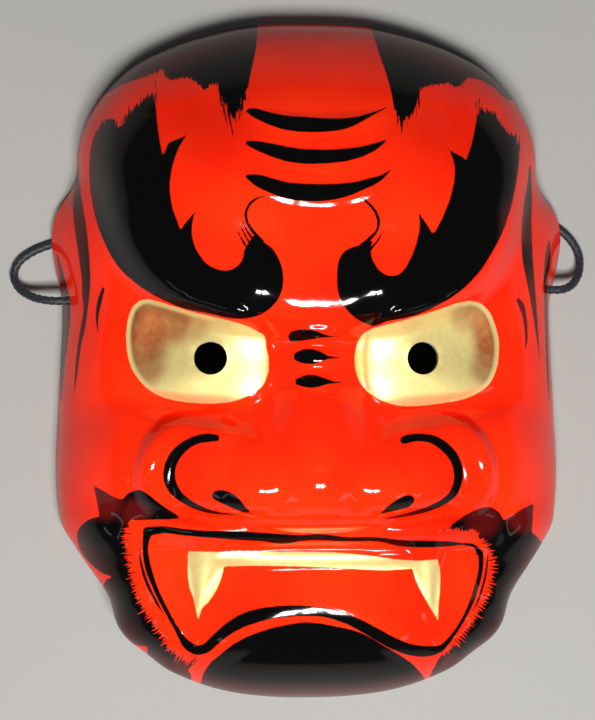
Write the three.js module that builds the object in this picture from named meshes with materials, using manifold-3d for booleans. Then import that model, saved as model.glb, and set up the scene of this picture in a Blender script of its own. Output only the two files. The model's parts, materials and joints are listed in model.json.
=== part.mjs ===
// An oni mask of pressed paper, lacquered and painted, lying face up on its rim.
// Millimetres. +X is the right of the face as seen, +Y its crown, +Z the way it looks.
// The origin is on the surface that the mask lies on, under the middle of the mask.
import * as THREE from "three";
import { mergeVertices } from "three/addons/utils/BufferGeometryUtils.js";
import Module from "manifold-3d";

// Driving sizes
const MASK_WIDTH = 173;
const MASK_HEIGHT = 230;
const DOME_DEPTH = 62;
const WALL = 2.6;
const EYE_HOLE_DIAMETER = 10.4;
const CORD_DIAMETER = 3;
const CORD_HOLE_CLEARANCE = 0.5;
const KNOT_SWELL = 2.5;
const KNOT_TAIL = 5;
const TOUCH_GAP = 0.3;
const ARCH_CLEARANCE = 1.6;

// Where the cord is fastened, left and right: up the face, and above the rim
const CORD_HOLES = {
  left: { side: -1, y: 20, z: 14 },
  right: { side: 1, y: 24, z: 14 },
};

// The cord's way between its two holes, chosen by hand: a loop beside the left cheek, under
// the raised edge of the rim, loosely across the hollow, and a loop beside the right cheek.
const CORD_ROUTE = [
  [-85, 20, 13.7],
  [-89.2, 20.5, 12],
  [-93.8, 22, 8.2],
  [-97.8, 25, 4.1],
  [-99.4, 29.2, 2.1],
  [-97.8, 33.4, 1.7],
  [-93.4, 36.8, 1.6],
  [-86.5, 39.6, 1.6],
  [-76, 42.5, 1.6],
  [-62, 38, 1.6],
  [-53, 24, 1.6],
  [-48, 4, 1.6],
  [-38, -16, 1.6],
  [-20, -26, 1.6],
  [-2, -20, 1.6],
  [8, -3, 1.6],
  [13, 18, 1.6],
  [24, 38, 1.6],
  [42, 50, 1.6],
  [60, 54, 1.6],
  [76, 50.6, 1.6],
  [84.6, 46.4, 1.6],
  [90, 42.2, 1.6],
  [93.2, 36.8, 1.9],
  [93.2, 31.2, 3.9],
  [90.8, 27, 8],
  [87.6, 24.8, 11.8],
  [84.9, 24.1, 13.6],
];

// The knot's section in shares of its radius: [across, along], and its whole length
const KNOT_PROFILE = [[0.8, 0.5], [1, 1], [0.86, 1.5]];
const KNOT_LENGTH = 1.95;

// Mesh fineness
const FACE_CELLS = [48, 64];
const BACK_CELLS = [26, 32];
const BACK_SAMPLES = 8;
const NORMAL_STEP = 0.02;
const HOLE_SIDES = 20;
const CORD_SIDES = 8;
const CORD_STEPS = 62;
const KNOT_SIDES = 10;

// Hundredths of the half width, the half height and the dome's depth, in which all carving is given
const ACROSS = MASK_WIDTH / 200;
const ALONG = MASK_HEIGHT / 200;
const DEEP = DOME_DEPTH / 100;

// The rim's outline from crown to chin on one side, and the narrower outline of the face above it
const RIM_OUTLINE = [
  [0, 100], [33, 97.8], [55.5, 92.5], [68, 87.5], [79.5, 79], [86.8, 70.3], [90.2, 61.4], [90.6, 54.5],
  [93, 49.5], [98, 43.5], [100, 37], [98.8, 28], [96.4, 17], [96.8, 2], [98, -16], [98.8, -30], [97.9, -43],
  [96.2, -48.5], [90, -53.8], [79, -62.6], [69.8, -74], [56.5, -85.6], [37, -95.5], [16, -99.4], [0, -100],
];
const FACE_OUTLINE = [
  [0, 96.6], [33, 94.6], [54.5, 89.2], [70, 83.1], [80.3, 74.8], [87, 64.3], [87, 51], [87.2, 41], [89, 30],
  [91, 12], [93, -14], [95, -37.6], [94.3, -50.5], [87.8, -64.1], [81.6, -71.7], [80, -81.2], [75.8, -86.1],
  [67.1, -89.7], [58.3, -93.9], [46.8, -96], [33, -96.8], [15, -96.5], [0, -96],
];

// Mounds and hollows, as [across, along] places: how far they reach across, up and down, how
// high they rise, and how soft they are. At 2 the foot melts away, and at 1 it shows as an edge.
const MOUNDS = {
  forehead: { at: [0, 50], radii: [92, 52, 52], rise: 20, softness: 2 },
  templeBall: { at: [38, 46], radii: [30, 26, 26], rise: 7, softness: 2 },
  betweenBrows: { at: [0, 15], radii: [46, 30, 12], rise: 5, softness: 2 },
  eyeSocket: { at: [42, 0], radii: [40, 27, 27], rise: -15, softness: 2 },
  cheek: { at: [70, -27], radii: [26, 18, 20], rise: 10, softness: 2 },
  upperJawLobe: { at: [81, -47], radii: [12, 9, 9], rise: 5, softness: 2 },
  middleJawLobe: { at: [72, -65], radii: [12, 9, 9], rise: 5, softness: 2 },
  lowerJawLobe: { at: [56, -79], radii: [13, 8, 8], rise: 5, softness: 2 },
  muzzle: { at: [0, -37], radii: [66, 30.5, 8.7], rise: 14, softness: 1.3 },
  noseWing: { at: [34, -33.5], radii: [23, 18, 10.5], rise: 11, softness: 1.3 },
  noseTip: { at: [0, -41], radii: [34, 37, 6], rise: 13, softness: 1.1 },
  chin: { at: [0, -84], radii: [54, 34, 16], rise: 15, softness: 1.2 },
};
const EYEBALL = { at: [42, 2.5], radii: [26, 14.6], rise: 15, squareness: 2.8, slant: 0.1, roundness: 0.75 };
const PUPIL = [38.6, 0.8];
const EYELID = { width: 0.16, rise: 1.4 };

// How much lower the eyeball is at its outer end, and between which offsets from its middle
const EYE_FALL = { from: -10, to: 26, much: 11 };

// Ridges and grooves that follow a line: half widths on the two sides of it, the rise along it,
// and how soft they are. At 0.5 the back is a half circle, and more is slimmer, with a softer foot.
const RIDGES = {
  noseBridge: {
    line: [[0, 10], [0, 3], [0, -8], [0, -20], [0, -30]],
    inner: 17, outer: 17, rise: [0, 5, 9, 11, 7], softness: 1.4,
  },
  brow: {
    line: [
      [0, 12.6], [12, 13.4], [24, 14.8], [36, 15.8], [48, 18.8],
      [59, 25], [67, 34], [71.5, 45], [73, 57], [71, 70],
    ],
    inner: 27, outer: 12, rise: [6, 8, 15, 18, 18, 17, 15, 12, 8, 3], softness: 2.2,
  },
  eyeBag: {
    line: [[22, -15.4], [34, -14.2], [46, -13.6], [57, -12.5], [68, -10.6], [79, -9]],
    inner: 6, outer: 6, rise: [0, -4, -5, -4, -2, 0], softness: 1.4,
  },
  cheekFold: {
    line: [[30, -16.5], [38, -16.5], [50, -17.8], [57, -21.5], [61, -28], [61, -36], [55, -43]],
    inner: 5.5, outer: 9, rise: [1, 5, 7, 8, 8, 6, 2], softness: 1.4,
  },
  upperLip: {
    line: [[0, -46.2], [20, -46.2], [36, -46], [52, -46], [66, -47]],
    inner: 5, outer: 7.5, rise: [7, 7, 8, 6, 2], softness: 1.4,
  },
  lowerLip: {
    line: [[0, -70], [16, -71], [32, -77], [44, -83]],
    inner: 9, outer: 9, rise: [0, 1, 3, 2], softness: 1.4,
  },
};

// The mouth's hollow between the lips, and what stands in it
const MOUTH = {
  top: -50, bottom: -63, bottomDrop: 16, corner: [61, 44], cornerAlong: [-48, -80], soft: 8, depth: 4.5,
};
const TEETH = { along: [-52, -55.6], across: 45, soft: 1.8, rise: 2.6 };
const FANG = { root: [40, -52], tip: [43.5, -71], halfWidth: 7.4, rise: 4.5, rooting: 0.2, softness: 1.4 };

// Wrinkles as raised welts: [middle, how far the ends rise above it], half length, half thickness
const FOREHEAD_WELTS = {
  middles: [63.6, 53.8, 44.2], curl: 4.2, halfLength: 26, halfThickness: 3.4, rise: 1.5,
};
const NOSE_WELTS = {
  middles: [7.2, 1, -5.6], curl: 0, halfLength: 7.6, halfThickness: 2.6, rise: 2.2,
};

// The dome's section and how its mesh rows are spread from the middle to the rim
const SECTION_POWER = 2.5;
const ROW_SPREAD = 0.7;
const ROW_POWER = 6;
const FLARE_POWER = 2;
const CARVING_FADE = 0.3;

// The back's hollows are filled out with paper where the face has creases narrower than this
const BACK_FILL = 4.5;

const smoothstep = (low, high, t) => {
  const s = Math.min(1, Math.max(0, (t - low) / (high - low)));
  return s * s * (3 - 2 * s);
};

// A smooth curve through knots [[t, value], ...], as a function of t
function through(knots) {
  const slopes = knots.map((_, i) => {
    const [before, after] = [knots[Math.max(0, i - 1)], knots[Math.min(knots.length - 1, i + 1)]];
    return (after[1] - before[1]) / (after[0] - before[0]);
  });
  return (t) => {
    let i = 0;
    while (i < knots.length - 2 && t > knots[i + 1][0]) i++;
    const [[t0, v0], [t1, v1]] = [knots[i], knots[i + 1]];
    const span = t1 - t0;
    const s = (t - t0) / span;
    return (
      v0 * (1 + 2 * s) * (1 - s) ** 2 + v1 * s * s * (3 - 2 * s) +
      span * s * (1 - s) * (slopes[i] * (1 - s) - slopes[i + 1] * s)
    );
  };
}

// An outline's reach, in shares of the half width and half height, by the angle from level
function outlineReach(points) {
  const knots = points.map(([x, y]) => [Math.atan2(y, x), Math.hypot(x, y) / 100]).reverse();
  const [first, second] = knots;
  const [beforeLast, last] = knots.slice(-2);
  return through([
    [2 * first[0] - second[0], second[1]],
    ...knots,
    [2 * last[0] - beforeLast[0], beforeLast[1]],
  ]);
}
const rimReach = outlineReach(RIM_OUTLINE);
const faceReach = outlineReach(FACE_OUTLINE);

// A mound, or a hollow where the rise is negative
function mound(x, y, { at, radii, rise, softness }) {
  const [dx, dy] = [x / ACROSS - at[0], y / ALONG - at[1]];
  const q = (dx / radii[0]) ** 2 + (dy / radii[dy > 0 ? 1 : 2]) ** 2;
  return q < 1 ? rise * DEEP * (1 - q) ** softness : 0;
}

// A line cut into short straight pieces, each with its rise at both ends
function ridgeLine({ line, inner, outer, rise, softness }) {
  const curve = new THREE.SplineCurve(line.map(([x, y]) => new THREE.Vector2(x * ACROSS, y * ALONG)));
  const pieces = 6 * (line.length - 1);
  const risesAt = through(rise.map((value, i) => [i / (rise.length - 1), value * DEEP]));
  const points = curve.getPoints(pieces);
  const rises = points.map((_, i) => risesAt(i / pieces));
  return { points, rises, inner: inner * ACROSS, outer: outer * ACROSS, softness };
}

// The height of a ridge at a place: the left of its line is its inner side, and round its
// ends one side's width turns into the other's
function ridge(x, y, { points, rises, inner, outer, softness }) {
  let best = { far: Infinity, rise: 0, side: 0 };
  for (let i = 0; i < points.length - 1; i++) {
    const [a, b] = [points[i], points[i + 1]];
    const [dx, dy] = [b.x - a.x, b.y - a.y];
    const length = Math.hypot(dx, dy);
    const t = Math.min(1, Math.max(0, ((x - a.x) * dx + (y - a.y) * dy) / length ** 2));
    const far = Math.hypot(x - a.x - t * dx, y - a.y - t * dy);
    if (far >= best.far) continue;
    const offset = (dx * (y - a.y) - dy * (x - a.x)) / length;
    best = { far, rise: rises[i] + t * (rises[i + 1] - rises[i]), side: far > 0 ? offset / far : 0 };
  }
  const width = (inner + outer + best.side * (inner - outer)) / 2;
  const s = best.far / width;
  return s < 1 ? best.rise * (1 - s * s) ** softness : 0;
}
const ridges = Object.values(RIDGES).map(ridgeLine);

// The eyeball as a squared pillow with a low lid around it
function eye(x, y) {
  const dx = x / ACROSS - EYEBALL.at[0];
  const dy = y / ALONG - EYEBALL.at[1] - EYEBALL.slant * dx;
  const power = EYEBALL.squareness;
  const q = Math.abs(dx / EYEBALL.radii[0]) ** power + Math.abs(dy / EYEBALL.radii[1]) ** power;
  const rise = EYEBALL.rise - EYE_FALL.much * smoothstep(EYE_FALL.from, EYE_FALL.to, dx + dy);
  const pillow = q < 1 ? rise * (1 - q) ** EYEBALL.roundness : 0;
  const lid = EYELID.rise * Math.exp(-(((q - 1) / (EYELID.width * power)) ** 2));
  return DEEP * (pillow + lid);
}

// The mouth's hollow, with soft sides
function mouthHollow(x, y) {
  const [px, py] = [x / ACROSS, y / ALONG];
  const fallen = (MOUTH.cornerAlong[0] - py) / (MOUTH.cornerAlong[0] - MOUTH.cornerAlong[1]);
  const side = MOUTH.corner[0] + fallen * (MOUTH.corner[1] - MOUTH.corner[0]);
  const floor = MOUTH.bottom - MOUTH.bottomDrop * (px / MOUTH.corner[1]) ** 2;
  const inside = (edge) => smoothstep(-MOUTH.soft, MOUTH.soft, edge);
  return -MOUTH.depth * DEEP * inside(MOUTH.top - py) * inside(py - floor) * inside(side - px);
}

// The row of teeth and the fang at its end
function teeth(x, y) {
  const [px, py] = [x / ACROSS, y / ALONG];
  const inside = (edge) => smoothstep(-TEETH.soft, TEETH.soft, edge);
  const level = inside(TEETH.along[0] - py) * inside(py - TEETH.along[1]);
  const row = TEETH.rise * level * inside(TEETH.across - px);
  const down = (FANG.root[1] - py) / (FANG.root[1] - FANG.tip[1]);
  const middle = FANG.root[0] + down * (FANG.tip[0] - FANG.root[0]);
  const taper = Math.max(0, 1 - down);
  const s = taper > 0 ? Math.min(1, Math.abs(px - middle) / (FANG.halfWidth * taper)) : 1;
  const section = (1 - s * s) ** FANG.softness;
  const fang = FANG.rise * section * smoothstep(-FANG.rooting, 0, down) * Math.min(1, taper);
  return DEEP * Math.max(row, fang);
}

// Welts across the brow or the nose: convex strips that taper to both ends
function welts(x, y, { middles, curl, halfLength, halfThickness, rise }) {
  const [px, py] = [x / ACROSS, y / ALONG];
  const s = Math.min(1, Math.abs(px) / halfLength);
  const taper = 1 - s ** 3;
  const heights = middles.map((middle) => {
    const t = Math.abs(py - middle - curl * s * s) / halfThickness;
    return t * t < taper ? rise * (taper - t * t) : 0;
  });
  return DEEP * Math.max(...heights);
}

// The big forms that the paper was pressed over, at a place whose plain dome height is given
function mouldHeight(x, y, dome) {
  let z = dome + mouthHollow(x, y) + eye(x, y);
  for (const form of Object.values(MOUNDS)) z += mound(x, y, form);
  for (const form of ridges) z += ridge(x, y, form);
  return z;
}

// What is laid on those forms in relief
const reliefHeight = (x, y) => teeth(x, y) + welts(x, y, FOREHEAD_WELTS) + welts(x, y, NOSE_WELTS);

// The rim is lifted at the temples, so that the cord passes under it
const ARCH_HEIGHT = CORD_DIAMETER + ARCH_CLEARANCE;
const ARCH = { middle: 38, halfLength: 21, narrowing: 4 };
function archLift(y) {
  const s = (y / ALONG - ARCH.middle) / ARCH.halfLength;
  return Math.abs(s) < 1 ? ARCH_HEIGHT * (1 - s ** 4) ** 2 : 0;
}

// The mould's height with narrow creases deepened, for the back of the wall
function backHeight(x, y, dome) {
  let z = mouldHeight(x, y, dome);
  for (let i = 0; i < BACK_SAMPLES; i++) {
    const angle = (2 * Math.PI * i) / BACK_SAMPLES;
    const [dx, dy] = [BACK_FILL * Math.cos(angle), BACK_FILL * Math.sin(angle)];
    z = Math.min(z, mouldHeight(Math.abs(x + dx), y + dy, dome));
  }
  return z;
}
const faceHeight = (x, y, dome) => mouldHeight(x, y, dome) + reliefHeight(x, y);

// A point of the surface whose carving is given, by its place [p, q] in a disc edged by the rim
function surfacePoint(p, q, carvedHeight) {
  const r = Math.min(1, Math.hypot(p, q));
  const angle = Math.atan2(q, Math.abs(p));
  const turn = (Math.PI / 2) * (ROW_SPREAD * r + (1 - ROW_SPREAD) * r ** ROW_POWER);
  const outward = Math.sin(turn) ** (2 / SECTION_POWER);
  const up = Math.max(0, Math.cos(turn)) ** (2 / SECTION_POWER);
  const flare = (1 - up) ** FLARE_POWER;
  const reach = outward * (faceReach(angle) * (1 - flare) + rimReach(angle) * flare);
  const x = reach * Math.cos(angle) * (MASK_WIDTH / 2);
  const y = reach * Math.sin(angle) * (MASK_HEIGHT / 2);
  const dome = up * DOME_DEPTH;
  const carving = smoothstep(0, CARVING_FADE, up) * (carvedHeight(x, y, dome) - dome);
  return new THREE.Vector3(p < 0 ? -x : x, y, dome + carving + archLift(y) * (1 - up) ** ARCH.narrowing);
}

// The outward direction of the back's form there, worked out from the surface close by
function backNormal(p, q) {
  const scale = Math.min(1, (1 - 2 * NORMAL_STEP) / Math.max(NORMAL_STEP, Math.hypot(p, q)));
  const at = (dp, dq) => surfacePoint(p * scale + dp, q * scale + dq, backHeight);
  const along = at(NORMAL_STEP, 0).sub(at(-NORMAL_STEP, 0));
  const up = at(0, NORMAL_STEP).sub(at(0, -NORMAL_STEP));
  return along.cross(up).normalize();
}

// A grid of points over the square, drawn onto the disc; place(p, q, onRim) gives each point
function gridOver([columns, rows], place) {
  const points = [];
  for (let j = 0; j <= rows; j++)
    for (let i = 0; i <= columns; i++) {
      const [u, v] = [(2 * i) / columns - 1, (2 * j) / rows - 1];
      const onRim = i === 0 || j === 0 || i === columns || j === rows;
      points.push(place(u * Math.sqrt(1 - (v * v) / 2), v * Math.sqrt(1 - (u * u) / 2), onRim));
    }
  const faces = [];
  for (let j = 0; j < rows; j++)
    for (let i = 0; i < columns; i++) {
      const a = j * (columns + 1) + i;
      const [b, c, d] = [a + 1, a + columns + 2, a + columns + 1];
      // Each cell is cut along its shorter diagonal
      if (points[a].distanceTo(points[c]) < points[b].distanceTo(points[d])) faces.push([a, b, c], [a, c, d]);
      else faces.push([a, b, d], [b, c, d]);
    }
  const rim = [];
  for (let i = 0; i < columns; i++) rim.push(i);
  for (let j = 0; j < rows; j++) rim.push(j * (columns + 1) + columns);
  for (let i = columns; i > 0; i--) rim.push(rows * (columns + 1) + i);
  for (let j = rows; j > 0; j--) rim.push(j * (columns + 1));
  return { points, faces, rim };
}

// The share of the way round the square at which each rim point of a grid lies
function rimShares([columns, rows]) {
  const shares = [];
  for (const [side, count] of [columns, rows, columns, rows].entries())
    for (let i = 0; i < count; i++) shares.push((side + i / count) / 4);
  return shares;
}

// The flat edge between two rims of different fineness
function edgeFaces(outer, outerShares, inner, innerShares) {
  const faces = [];
  let [i, j] = [0, 0];
  while (i < outer.length || j < inner.length) {
    const nextOuter = i < outer.length ? (outerShares[i + 1] ?? 1) : Infinity;
    const nextInner = j < inner.length ? (innerShares[j + 1] ?? 1) : Infinity;
    const [a, b] = [outer[i % outer.length], inner[j % inner.length]];
    if (nextOuter <= nextInner) faces.push([b, outer[++i % outer.length], a]);
    else faces.push([a, b, inner[++j % inner.length]]);
  }
  return faces;
}

// The whole shell as one closed mesh: the face, the back one wall behind it, and the edge between
function shellGeometry() {
  const face = gridOver(FACE_CELLS, (p, q) => surfacePoint(p, q, faceHeight));
  const back = gridOver(BACK_CELLS, (p, q, onRim) => {
    const point = surfacePoint(p, q, backHeight);
    const normal = backNormal(p, q);
    if (onRim) normal.setZ(0).normalize();
    return point.addScaledVector(normal, -WALL);
  });
  const shift = face.points.length;
  const positions = [...face.points, ...back.points].flatMap((point) => point.toArray());
  const backFaces = back.faces.map(([a, b, c]) => [a + shift, c + shift, b + shift]);
  const edge = edgeFaces(
    face.rim, rimShares(FACE_CELLS), back.rim.map((i) => i + shift), rimShares(BACK_CELLS),
  );
  return new THREE.BufferGeometry()
    .setAttribute("position", new THREE.Float32BufferAttribute(positions, 3))
    .setIndex([...face.faces, ...backFaces, ...edge].flat());
}

const wasm = await Module();
wasm.setup();

function solidOf(geometry) {
  const bare = geometry.clone();
  bare.deleteAttribute("normal");
  bare.deleteAttribute("uv");
  const merged = mergeVertices(bare, 1e-4);
  return new wasm.Manifold(new wasm.Mesh({
    numProp: 3,
    vertProperties: merged.attributes.position.array,
    triVerts: new Uint32Array(merged.index.array),
  }));
}

function geometryOf(solid) {
  const mesh = solid.getMesh();
  return new THREE.BufferGeometry()
    .setAttribute("position", new THREE.BufferAttribute(mesh.vertProperties, 3))
    .setIndex(new THREE.BufferAttribute(mesh.triVerts, 1));
}

// The outer and inner side of the wall on a level line across the mask
function wallAt(geometry, { side, y, z }) {
  const probe = new THREE.Mesh(geometry, new THREE.MeshBasicMaterial({ side: THREE.DoubleSide }));
  const ray = new THREE.Raycaster(new THREE.Vector3(side * MASK_WIDTH, y, z), new THREE.Vector3(-side, 0, 0));
  const [outer, inner] = ray.intersectObject(probe).map((hit) => hit.point.x);
  return { outer, inner };
}

// Both eye holes, straight through the pupils
function eyeHoles() {
  const [radius, length] = [EYE_HOLE_DIAMETER / 2, 4 * DOME_DEPTH];
  return [-1, 1].map((side) =>
    new THREE.CylinderGeometry(radius, radius, length, HOLE_SIDES)
      .rotateX(Math.PI / 2)
      .translate(side * PUPIL[0] * ACROSS, PUPIL[1] * ALONG, 0),
  );
}

// A hole through one side wall for the cord
function cordHole({ side, y, z }) {
  const [radius, length] = [CORD_DIAMETER / 2 + CORD_HOLE_CLEARANCE, MASK_WIDTH / 4];
  return new THREE.CylinderGeometry(radius, radius, length, HOLE_SIDES)
    .rotateZ(Math.PI / 2)
    .translate((side * MASK_WIDTH) / 2, y, z);
}

function material(color, roughness) {
  return new THREE.MeshStandardMaterial({ color, roughness, metalness: 0 });
}
const lacquer = material("#e22a12", 0.15);
const braid = material("#15181a", 0.8);

function maskShell(whole) {
  let solid = solidOf(whole);
  for (const hole of [...eyeHoles(), ...Object.values(CORD_HOLES).map(cordHole)])
    solid = solid.subtract(solidOf(hole));
  const mesh = new THREE.Mesh(geometryOf(solid), lacquer);
  mesh.name = "mask_shell";
  return mesh;
}

// The cord's end: it fills its hole, and a stopper knot with a short tail holds it inside
function cordKnot(whole, name, hole) {
  const wall = wallAt(whole, hole);
  const radius = CORD_DIAMETER / 2;
  const knot = KNOT_SWELL * radius;
  const start = Math.abs(wall.outer - wall.inner) + TOUCH_GAP;
  const swell = KNOT_PROFILE.map(([across, along]) => [across * knot, start + along * knot]);
  const end = start + KNOT_LENGTH * knot;
  const profile = [
    [0, 0], [radius, 0], [radius, start],
    ...swell,
    [radius, end], [radius, end + KNOT_TAIL], [0, end + KNOT_TAIL],
  ];
  const mesh = new THREE.Mesh(
    new THREE.LatheGeometry(profile.map(([r, h]) => new THREE.Vector2(r, h)), KNOT_SIDES),
    braid,
  );
  mesh.name = name;
  mesh.rotation.z = (hole.side * Math.PI) / 2;
  mesh.position.set(wall.outer, hole.y, hole.z);
  return mesh;
}

// The cord from one hole's mouth to the other's
function cordTube(whole) {
  const mouth = (hole) =>
    new THREE.Vector3(wallAt(whole, hole).outer + hole.side * TOUCH_GAP, hole.y, hole.z);
  const way = [
    mouth(CORD_HOLES.left),
    ...CORD_ROUTE.map((point) => new THREE.Vector3(...point)),
    mouth(CORD_HOLES.right),
  ];
  const curve = new THREE.CatmullRomCurve3(way);
  const section = new THREE.Shape();
  section.absarc(0, 0, CORD_DIAMETER / 2, 0, 2 * Math.PI);
  const geometry = new THREE.ExtrudeGeometry(section, {
    steps: CORD_STEPS,
    curveSegments: CORD_SIDES / 2,
    extrudePath: curve,
  });
  const mesh = new THREE.Mesh(geometry, braid);
  mesh.name = "head_cord";
  return mesh;
}

const shell = shellGeometry();
const mask = new THREE.Group();
mask.add(
  maskShell(shell),
  cordTube(shell),
  cordKnot(shell, "cord_knot_left", CORD_HOLES.left),
  cordKnot(shell, "cord_knot_right", CORD_HOLES.right),
);
export default mask;
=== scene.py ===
"""An oni mask of pasted paper under orange-red lacquer, painted black and gold, lying face up.

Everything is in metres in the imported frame. +X is the right of the face, +Y its crown, and +Z up.
The mask's form is worked out in millimetres from the same named sizes as its solid.
"""
import json
import math
from contextlib import contextmanager
from functools import partial

import bpy
import numpy as np
from mathutils import Matrix, Vector

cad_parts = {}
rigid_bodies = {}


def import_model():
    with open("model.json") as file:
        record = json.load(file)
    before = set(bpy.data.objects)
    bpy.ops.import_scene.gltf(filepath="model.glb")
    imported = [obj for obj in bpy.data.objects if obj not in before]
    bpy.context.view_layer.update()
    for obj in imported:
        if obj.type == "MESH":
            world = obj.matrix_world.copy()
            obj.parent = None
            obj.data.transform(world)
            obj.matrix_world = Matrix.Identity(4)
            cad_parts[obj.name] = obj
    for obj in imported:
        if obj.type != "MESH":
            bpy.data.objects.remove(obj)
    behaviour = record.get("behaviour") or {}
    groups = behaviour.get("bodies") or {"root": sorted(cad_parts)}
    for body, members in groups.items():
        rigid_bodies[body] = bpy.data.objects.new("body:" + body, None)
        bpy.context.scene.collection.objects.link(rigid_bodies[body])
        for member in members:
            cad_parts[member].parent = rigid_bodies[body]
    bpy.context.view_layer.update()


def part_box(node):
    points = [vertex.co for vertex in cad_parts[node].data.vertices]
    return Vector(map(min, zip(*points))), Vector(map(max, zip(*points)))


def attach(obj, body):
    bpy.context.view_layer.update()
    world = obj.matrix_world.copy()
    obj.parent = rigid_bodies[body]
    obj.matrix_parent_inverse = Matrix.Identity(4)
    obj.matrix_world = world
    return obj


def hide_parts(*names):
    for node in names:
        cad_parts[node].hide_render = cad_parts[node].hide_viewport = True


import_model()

MM = 0.001

# The picture that the camera and the paint follow, in pixels from its top left corner
PICTURE_SIZE = (595, 720)
PICTURE_ORIGIN = (307, 361)
PICTURE_MM = 0.342
VIEW_DISTANCE = 700
VIEW_TILT = 3.1

# Sizes that the solid is made from, in millimetres
MASK_WIDTH = 173
MASK_HEIGHT = 230
DOME_DEPTH = 62
WALL = 2.6
EYE_HOLE_DIAMETER = 10.4
CORD_DIAMETER = 3
CORD_HOLE_CLEARANCE = 0.5
KNOT_TAIL = 5
TOUCH_GAP = 0.3
ARCH_HEIGHT = CORD_DIAMETER + 1.6
CORD_HOLES = {"left": (-1, 20, 14), "right": (1, 24, 14)}

# The cord's way, as listed: a loop beside the left cheek, under the raised edge of the
# rim, loosely across the hollow, and a loop beside the right cheek
CORD_ROUTE = [
    (-85, 20, 13.7), (-89.2, 20.5, 12), (-93.8, 22, 8.2), (-97.8, 25, 4.1), (-99.4, 29.2, 2.1),
    (-97.8, 33.4, 1.7), (-93.4, 36.8, 1.6), (-86.5, 39.6, 1.6), (-76, 42.5, 1.6), (-62, 38, 1.6),
    (-53, 24, 1.6), (-48, 4, 1.6), (-38, -16, 1.6), (-20, -26, 1.6), (-2, -20, 1.6),
    (8, -3, 1.6), (13, 18, 1.6), (24, 38, 1.6), (42, 50, 1.6), (60, 54, 1.6),
    (76, 50.6, 1.6), (84.6, 46.4, 1.6), (90, 42.2, 1.6), (93.2, 36.8, 1.9), (93.2, 31.2, 3.9),
    (90.8, 27, 8), (87.6, 24.8, 11.8), (84.9, 24.1, 13.6),
]


# View: the eye is straight above the mask, leaning a little to its left

def view_axes():
    """The eye's place and its right, up and backward directions, in millimetres."""
    tilt = math.radians(VIEW_TILT)
    back = Vector((-math.sin(tilt), 0, math.cos(tilt)))
    right = Vector((0, 1, 0)).cross(back).normalized()
    return back * VIEW_DISTANCE, right, back.cross(right), back


def picture_place(points):
    """Where points, in millimetres, show in the picture: two arrays of pixels."""
    eye, right, up, back = (np.array(v) for v in view_axes())
    seen = points - eye
    depth = -seen @ back
    focal = VIEW_DISTANCE / PICTURE_MM
    return PICTURE_ORIGIN[0] + focal * (seen @ right) / depth, PICTURE_ORIGIN[1] - focal * (seen @ up) / depth


def add_camera():
    eye, right, up, back = view_axes()
    data = bpy.data.cameras.new("camera")
    camera = bpy.data.objects.new("camera", data)
    bpy.context.scene.collection.objects.link(camera)
    turn = Matrix((right, up, back)).transposed().to_4x4()
    camera.matrix_world = Matrix.Translation(eye * MM) @ turn
    data.sensor_fit = "VERTICAL"
    data.sensor_height = 24
    data.lens = data.sensor_height * VIEW_DISTANCE / (PICTURE_MM * PICTURE_SIZE[1])
    data.shift_x = (PICTURE_SIZE[0] / 2 - PICTURE_ORIGIN[0]) / PICTURE_SIZE[1]
    data.shift_y = (PICTURE_ORIGIN[1] - PICTURE_SIZE[1] / 2) / PICTURE_SIZE[1]
    data.clip_end = 20
    bpy.context.scene.camera = camera


add_camera()


# Small helpers for meshes

def only(obj):
    """Make obj the one selected and active object."""
    for other in bpy.context.view_layer.objects:
        other.select_set(False)
    obj.select_set(True)
    bpy.context.view_layer.objects.active = obj


def mesh_object(name, vertices, faces):
    mesh = bpy.data.meshes.new(name)
    mesh.from_pydata([tuple(v) for v in vertices], [], faces)
    mesh.update()
    obj = bpy.data.objects.new(name, mesh)
    bpy.context.scene.collection.objects.link(obj)
    return obj


@contextmanager
def editing(obj):
    """Edit mode on one mesh, for mesh operators."""
    only(obj)
    bpy.ops.object.mode_set(mode="EDIT")
    yield
    bpy.ops.object.mode_set(mode="OBJECT")


def mesh_points(obj, scale=MM):
    """A mesh's points, in millimetres or at another scale."""
    flat = np.empty(len(obj.data.vertices) * 3)
    obj.data.vertices.foreach_get("co", flat)
    return flat.reshape(-1, 3) / scale


def smooth(obj, degrees):
    only(obj)
    bpy.ops.object.shade_smooth_by_angle(angle=math.radians(degrees))


def join(pieces, name):
    only(pieces[0])
    for piece in pieces[1:]:
        piece.select_set(True)
    bpy.ops.object.join()
    pieces[0].name = name
    pieces[0].data.name = name
    return pieces[0]


# Small helpers for curves

# Points nearer than the first count as that far apart; the second keeps divisors above 0
CLOSEST = 1e-6
TINY = 1e-9


def unit(vectors):
    return vectors / np.linalg.norm(vectors, axis=-1, keepdims=True)


def curve_through(points, per_span):
    """A rounded line through points that are unevenly far apart, as an array of places."""
    points = np.array(points, float)
    padded = np.vstack([2 * points[0] - points[1], points, 2 * points[-1] - points[-2]])
    out = []
    for a, b, c, d in zip(padded, padded[1:], padded[2:], padded[3:]):
        ab, bc, cd = (max(CLOSEST, np.linalg.norm(q - p)) ** 0.5 for p, q in ((a, b), (b, c), (c, d)))
        leave = (b - a) / ab - (c - a) / (ab + bc) + (c - b) / bc
        arrive = (c - b) / bc - (d - b) / (bc + cd) + (d - c) / cd
        leave, arrive = leave * bc, arrive * bc
        t = np.arange(per_span)[:, None] / per_span
        out.append(
            b * (1 + 2 * t) * (1 - t) ** 2 + c * t * t * (3 - 2 * t)
            + leave * t * (1 - t) ** 2 - arrive * t * t * (1 - t)
        )
    out.append(points[-1:])
    return np.vstack(out)


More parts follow.
